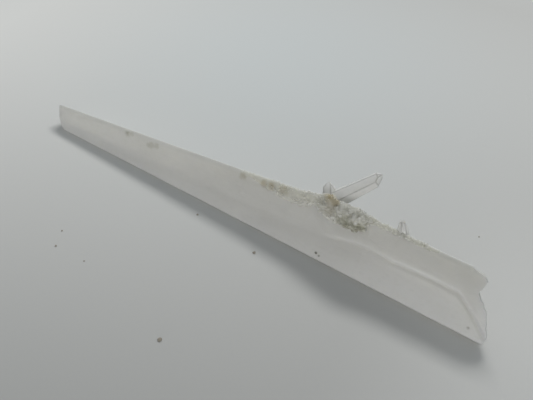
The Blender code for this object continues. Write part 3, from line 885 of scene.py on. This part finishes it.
def place_group():
    """Place on the crystal in millimetres: along it, up its front face, and down from its upper edge."""
    group, n, _, out = new_group("place_on_crystal", ("Along", "Up", "Below Rim", "Over Ledge"))
    apart = n.add("SeparateXYZ", Vector=n.millimetres())
    x, y, z = (n.math("ADD", socket, shift) for socket, shift in zip(apart.outputs, ORIGIN))
    up = n.math("ADD", n.math("MULTIPLY", y, ACROSS.y), n.math("MULTIPLY", z, ACROSS.z))
    first, last = FRONT_EDGE_AT_TIP.dot(ACROSS), FRONT_EDGE_AT_END.dot(ACROSS)
    up = n.math("SUBTRACT", up, n.line(x, TIP_X, END_X, first, last))
    rim = n.curve(x, [(place, rim_up(place)) for place in range(-64, 66, 5)])
    n.feed(out["Along"], x)
    n.feed(out["Up"], up)
    n.feed(out["Below Rim"], n.math("SUBTRACT", rim, up))
    n.feed(out["Over Ledge"], n.math("SUBTRACT", up, n.curve(x, LEDGE)))
    return group


def veils_and_painted_light_group():
    """Milky veils: cloudy sheets drawn out along the crystal, and finer wisps that lean across it. With them,
    painted light and shade: lighter ends, foot and lower corner, shade under the upper edge, a highlight on
    the ledge's crest and shade at its foot.
    """
    veils = ("Cloud", "Wisps", "Painted Light", "Painted Rim Shade", "Ledge Painted Highlight", "Ledge Painted Shade", "Specks")
    group, n, _, out = new_group("milky_veils_and_painted_light", veils)
    place = n.add("Group", "place").outputs
    # Painted light and shade: the body is painted lighter towards both ends and greyer in the middle, as shade
    # from the crust, and lighter along the foot of the front face and in its wide lower corner.
    apart = n.math("ABSOLUTE", n.math("SUBTRACT", place["Along"], MOST_SHADED_X))
    ends = n.spread(apart, *PAINTED_LIGHT_ENDS)
    foot = n.spread(place["Up"], *PAINTED_LIGHT_FOOT)
    lift = n.math("ADD", n.math("MULTIPLY", ends, 0.5), n.math("MULTIPLY", foot, 0.5))
    corner_x, corner_up = PAINTED_LIGHT_CORNER
    corner = n.math("MULTIPLY", n.spread(place["Along"], *corner_x), n.spread(place["Up"], *corner_up))
    n.feed(out["Painted Light"], n.math("ADD", lift, n.math("MULTIPLY", corner, 0.7)))
    # Painted shade: darker in a narrow band under the upper edge and over the crust above it, and wider under
    # the edge near the wide end.
    band, shade = (n.math("MULTIPLY", n.spread(place["Below Rim"], *below), n.spread(place["Along"], *along))
                   for below, along in (PAINTED_RIM_SHADE_BAND, PAINTED_RIM_SHADE_WIDE))
    n.feed(out["Painted Rim Shade"], n.math("ADD", band, shade))
    # Painted highlight along the ledge's crest and painted shade along its foot.
    grown = n.spread(place["Along"], *LEDGE_SHOWS)
    for socket, over, reach in (("Ledge Painted Highlight", CREST_UP, CREST_REACH), ("Ledge Painted Shade", FOOT_UP, FOOT_REACH)):
        away = n.math("ABSOLUTE", n.math("SUBTRACT", place["Over Ledge"], over))
        n.feed(out[socket], n.math("MULTIPLY", n.spread(away, *reach), grown))
    cloud = n.noise(n.millimetres((0.25, 1, 1)), 6.0, 4.0, 0.6, 0.4)
    wisps = n.noise(n.millimetres((0.5, 2.2, 1.1)), 2.4, 5.0, 0.65, 1.2)
    n.feed(out["Cloud"], n.spread(cloud, 0.36, 0.66))
    n.feed(out["Wisps"], n.spread(wisps, 0.52, 0.74))
    n.feed(out["Specks"], n.spread(n.noise(n.millimetres((0.6, 1, 1)), 0.8, 3.0, 0.7), 0.5, 0.7))
    return group


def lines_group():
    """Fine growth lines across the crystal's length, and the soft pitting of a natural face."""
    group, n, _, out = new_group("growth_lines", ("Height", "Frost"))
    n.feed(out["Height"], n.noise(n.millimetres((1, 0.12, 0.12)), LINE_SIZE, 4.0, 0.5))
    n.feed(out["Frost"], n.noise(n.millimetres(), FROST_SIZE, 3.0, 0.5))
    return group


def stain_and_shade_group():
    """Patch of colour round a place, for clay and iron staining and for painted shade: strong at its heart and
    ragged at its edge.
    """
    inputs = (("Heart", "Vector", (0, 0, 0)), ("Reach", "Float", 2.0), ("Grain", "Float", 0.6))
    group, n, given, out = new_group("clay_stain_and_painted_shade", ("Mask",), inputs)
    place = n.millimetres()
    away = n.add("VectorMath")
    away.operation = "DISTANCE"
    n.feed(away.inputs[0], place)
    n.feed(away.inputs[1], given["Heart"])
    specks = n.noise(place, given["Grain"], 4.0, 0.5)
    share = n.math("DIVIDE", away.outputs["Value"], given["Reach"])
    ragged = n.math("MULTIPLY_ADD", specks, 0.9, n.math("SUBTRACT", 0.55, share))
    n.feed(out["Mask"], n.spread(ragged, 0.05, 0.75))
    return group


def add_stains_and_shade(n, colour, patches, patch_colour):
    """Lay a list of patches over a colour: clay and iron staining, painted shade and darker pits."""
    for x, up, proud, reach, grain, strength in patches:
        patch = n.add("Group", "patch", Heart=on_front(x, up, proud) - ORIGIN, Reach=reach, Grain=grain)
        share = n.math("MULTIPLY", patch.outputs["Mask"], strength)
        colour = n.mix(share, colour, patch_colour)
    return colour


def quartz(name, clear, pale, milky, rough, frost, depth, rim=None, stained_and_shaded=False):
    """Quartz: clear is how much light passes straight in, pale and milky are its two body colours, between
    which its milkiness and painted light move it, depth is how far light spreads under its surface in
    millimetres, and rim is the colour of painted shade along the upper edge."""
    material, n, shader = new_material(name)
    veils = n.add("Group", "veils").outputs
    lines = n.add("Group", "lines").outputs
    cloud = n.math("MULTIPLY", veils["Cloud"], CLOUD_SHARE)
    lift = n.math("MINIMUM", n.math("MULTIPLY_ADD", veils["Painted Light"], PAINTED_LIGHT_SHARE, cloud), 1.0)
    colour = n.mix(lift, pale, milky)
    layers = [("Wisps", WISP_SHARE, milky), ("Specks", SPECK_SHARE, DULL)]
    # With a rim colour it is also painted darker under the upper edge as shade, lighter on the ledge's crest as
    # a highlight, and darker at the ledge's foot as shade.
    if rim:
        layers += [("Painted Rim Shade", 1.0, rim), ("Ledge Painted Highlight", CREST_HIGHLIGHT_SHARE, CREST_HIGHLIGHT),
                   ("Ledge Painted Shade", FOOT_SHADE_SHARE, DULL)]
    for veil, strength, tint in layers:
        colour = n.mix(n.math("MULTIPLY", veils[veil], strength), colour, tint)
    # Clay and iron staining, painted shade and clay under the cluster, and darker pits.
    if stained_and_shaded:
        colour = add_stains_and_shade(n, colour, RUST_STAINS, RUST)
        colour = add_stains_and_shade(n, colour, OLIVE_STAINS, OLIVE)
        colour = add_stains_and_shade(n, colour, CLUSTER_SHADE_AND_PIT_MARKS, SHADE_AND_PIT_DARK)
    n.feed(shader["Base Color"], colour)
    n.feed(shader["Roughness"], n.math("MULTIPLY_ADD", lines["Frost"], 0.25, rough - 0.125))
    shader["IOR"].default_value = QUARTZ_IOR
    shader["Transmission Weight"].default_value = clear
    shader["Subsurface Weight"].default_value = 1.0
    shader["Subsurface Radius"].default_value = SPREAD_BY_COLOUR
    shader["Subsurface Scale"].default_value = depth * MM
    bump = n.add("Bump", Height=lines["Height"], Strength=0.35, Distance=LINE_RELIEF * MM)
    second = n.add("Bump", Height=lines["Frost"], Strength=frost, Distance=FROST_RELIEF * MM)
    n.feed(second.inputs["Normal"], bump.outputs["Normal"])
    n.feed(shader["Normal"], second.outputs["Normal"])
    return material


def quartz_materials():
    """Finishes of the crystal: body, side crystals, crust, broken end, and the side crystals' edges, painted
    darker as shade.
    """
    return [
        # The last colour of the milky quartz and of the druse is that of the painted shade along the upper
        # edge.
        quartz("milky_quartz", 0.35, (0.785, 0.775, 0.745, 1), (0.925, 0.915, 0.885, 1), 0.55, 0.5, 2.5,
               (0.56, 0.56, 0.53, 1), stained_and_shaded=True),
        quartz("clear_quartz", 0.24, (0.85, 0.84, 0.81, 1), (0.85, 0.84, 0.81, 1), 0.45, 0.05, 5),
        quartz("clay_stained_and_shaded_druse", 0.08, (0.65, 0.64, 0.59, 1), (0.70, 0.69, 0.65, 1), 0.6, 0.15, 3.0,
               (0.44, 0.435, 0.39, 1), stained_and_shaded=True),
        quartz("broken_quartz", 0.40, (0.78, 0.775, 0.745, 1), (0.90, 0.895, 0.87, 1), 0.45, 0.3, 2.5),
        # Darker copy of the clear quartz for the side crystals' rounded edges: painted shade along their
        # outlines.
        quartz("side_crystal_edges_painted_shade", 0.25, (0.66, 0.65, 0.625, 1), (0.66, 0.65, 0.625, 1), 0.45, 0.05, 1.5),
    ]


def painted_floor_light_group():
    """Painted light on the floor: how light it is painted at a place, and where it is painted coolest."""
    group, n, _, out = new_group("painted_floor_light", ("Painted Floor Light", "Painted Cool Light"))
    apart = n.add("SeparateXYZ", Vector=n.millimetres())
    x, y = (n.math("MULTIPLY", socket, 0.01) for socket in apart.outputs[:2])
    x, y = (n.math("MAXIMUM", n.math("MINIMUM", place, high), low)
            for place, (low, high) in ((x, FLOOR_LIGHT_EDGES_X), (y, FLOOR_LIGHT_EDGES_Y)))
    brightness = FLOOR_LIGHT_LEVEL
    terms = ((x, FLOOR_LIGHT_ALONG_X), (y, FLOOR_LIGHT_ALONG_Y), (n.math("MULTIPLY", x, x), FLOOR_LIGHT_BEND_X),
             (n.math("MULTIPLY", x, y), FLOOR_LIGHT_TWIST), (n.math("MULTIPLY", y, y), FLOOR_LIGHT_BEND_Y))
    for term, share in terms:
        brightness = n.math("MULTIPLY_ADD", term, share, brightness)
    near = n.spread(x, *LIT_CORNER[0])
    near = n.math("MULTIPLY", near, n.spread(y, *LIT_CORNER[1]))
    n.feed(out["Painted Floor Light"], n.math("EXPONENT", n.math("ADD", brightness, n.math("MULTIPLY", near, CORNER_LIGHT))))
    far = n.math("SQRT", n.math("ADD", *(n.math("POWER", n.math("SUBTRACT", socket, middle), 2.0)
                                         for socket, middle in ((x, COOL_LIGHT_MIDDLE[0]), (y, COOL_LIGHT_MIDDLE[1])))))
    n.feed(out["Painted Cool Light"], n.spread(far, 1.0, 0.0))
    return group


def floor_finish(name, colour, cool_light, rough):
    """Pale matt finish of the floor, with painted light over it and the faintest grain."""
    material, n, shader = new_material(name)
    # Painted light: the floor is painted lighter and darker by place, and coolest round a middle.
    floor_light = n.add("Group", "floor_light").outputs
    grain = n.spread(n.noise(n.millimetres(), 0.8, 3.0), 0.0, 1.0, 0.985, 1.0)
    brightness = n.math("MULTIPLY", floor_light["Painted Floor Light"], grain)
    even = n.mix(floor_light["Painted Cool Light"], colour, cool_light)
    n.feed(shader["Base Color"], n.mix(1.0, even, brightness, "MULTIPLY"))
    shader["Roughness"].default_value = rough
    return material


# ==== the piece, the floor, the light and the camera ==============================================
def build_crystal():
    """Join all bodies into the one crystal."""
    materials = quartz_materials()
    crystal = long_crystal()
    dress(crystal, materials, 0)
    rough_crust = crust()
    dress(rough_crust, materials, 2)
    boolean(crystal, rough_crust, "UNION")
    tiny = druse()
    dress(tiny, materials, 2)
    boolean(crystal, tiny, "UNION")
    for body in side_crystals():
        # The side crystals' rounded edges get the darker material, painted shade.
        dress(body, materials, 1, 4)
        boolean(crystal, body, "UNION")
    breaker = end_break()
    dress(breaker, materials, 3)
    boolean(crystal, breaker, "DIFFERENCE")
    crystal.name = "quartz_crystal_dressed"
    crystal.data.name = crystal.name
    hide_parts("quartz_crystal")
    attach(crystal, "root")
    return crystal


def build_floor():
    """Pale floor under the crystal."""
    bm = bmesh.new()
    bmesh.ops.create_grid(bm, x_segments=8, y_segments=8, size=FLOOR_REACH)
    floor = new_object("floor", bm)
    floor.data.materials.append(floor_finish("pale_floor", FLOOR_COLOUR, FLOOR_COOL_LIGHT_COLOUR, 0.8))


def build_crumbs():
    """A few crumbs of clay on the floor."""
    material, _, shader = new_material("clay_crumb")
    shader["Base Color"].default_value = CRUMB_COLOUR
    shader["Roughness"].default_value = 0.9
    bm = bmesh.new()
    for x, y, size in CRUMBS:
        made = bmesh.ops.create_icosphere(bm, subdivisions=2, radius=size)
        for vert in made["verts"]:
            lump = 1 + 0.5 * noise.noise(vert.co / size + Vector((x, y, 0)))
            vert.co = Vector((x, y, 0.3 * size)) + Vector((vert.co.x, vert.co.y, 0.5 * vert.co.z)) * lump
    crumbs = new_object("crumbs", bm)
    crumbs.data.materials.append(material)


def area_light(name, place, target, sizes, power, colour):
    """Soft rectangular light at a place, looking at a target, in millimetres of the frame."""
    light = bpy.data.lights.new(name, "AREA")
    light.shape = "RECTANGLE"
    light.size, light.size_y = (size * MM for size in sizes)
    light.energy = power
    light.color = colour
    obj = bpy.data.objects.new(name, light)
    obj.location = Vector(place) * MM
    obj.rotation_euler = (Vector(target) - Vector(place)).to_track_quat("-Z", "Y").to_euler()
    bpy.context.scene.collection.objects.link(obj)


def sky_place(azimuth, elevation, distance):
    """Place in a direction: azimuth is turned from +Y towards +X, and elevation is above the floor."""
    turn, rise = math.radians(azimuth), math.radians(elevation)
    return [distance * share for share in (math.sin(turn) * math.cos(rise), math.cos(turn) * math.cos(rise),
                                           math.sin(rise))]


def build_light():
    """A long window behind and above, weak light from the room, and daylight that is brighter on one side."""
    window = Vector(sky_place(*WINDOW)) + Vector((WINDOW_ASIDE, 0, 0))
    area_light("window", window, (WINDOW_ASIDE, 0, 0), WINDOW_SIZE, WINDOW_POWER, (1.0, 0.995, 0.98))
    area_light("room", sky_place(*ROOM), (0, 0, 0), ROOM_SIZE, ROOM_POWER, (1.0, 0.99, 0.97))
    world = bpy.data.worlds.new("daylight")
    world.use_nodes = True
    n = Nodes(world.node_tree)
    background = world.node_tree.nodes["Background"]
    background.inputs["Color"].default_value = DAYLIGHT
    facing = n.add("VectorMath")
    facing.operation = "DOT_PRODUCT"
    n.feed(facing.inputs[0], n.add("TexCoord").outputs["Generated"])
    facing.inputs[1].default_value = sky_place(*BRIGHT_SKY, 1)
    n.feed(background.inputs["Strength"], n.spread(facing.outputs["Value"], -0.6, 1.0, *DAYLIGHT_STRENGTH))
    bpy.context.scene.world = world
    bpy.context.scene.view_settings.view_transform = "Standard"


def build_camera():
    """Camera held above the front of the crystal, near its wide end."""
    camera = bpy.data.cameras.new("camera")
    camera.lens = CAMERA_LENS
    camera.sensor_width = 36
    camera.clip_start = 0.005
    obj = bpy.data.objects.new("camera", camera)
    obj.location = CAMERA_PLACE * MM
    obj.rotation_euler = (math.radians(90 - CAMERA_ELEVATION), 0, math.radians(CAMERA_AZIMUTH))
    bpy.context.scene.collection.objects.link(obj)
    bpy.context.scene.camera = obj


build_camera()
GROUPS["place"] = place_group()
GROUPS["veils"] = veils_and_painted_light_group()
GROUPS["lines"] = lines_group()
GROUPS["patch"] = stain_and_shade_group()
GROUPS["floor_light"] = painted_floor_light_group()
build_crystal()
build_floor()
build_crumbs()
build_light()
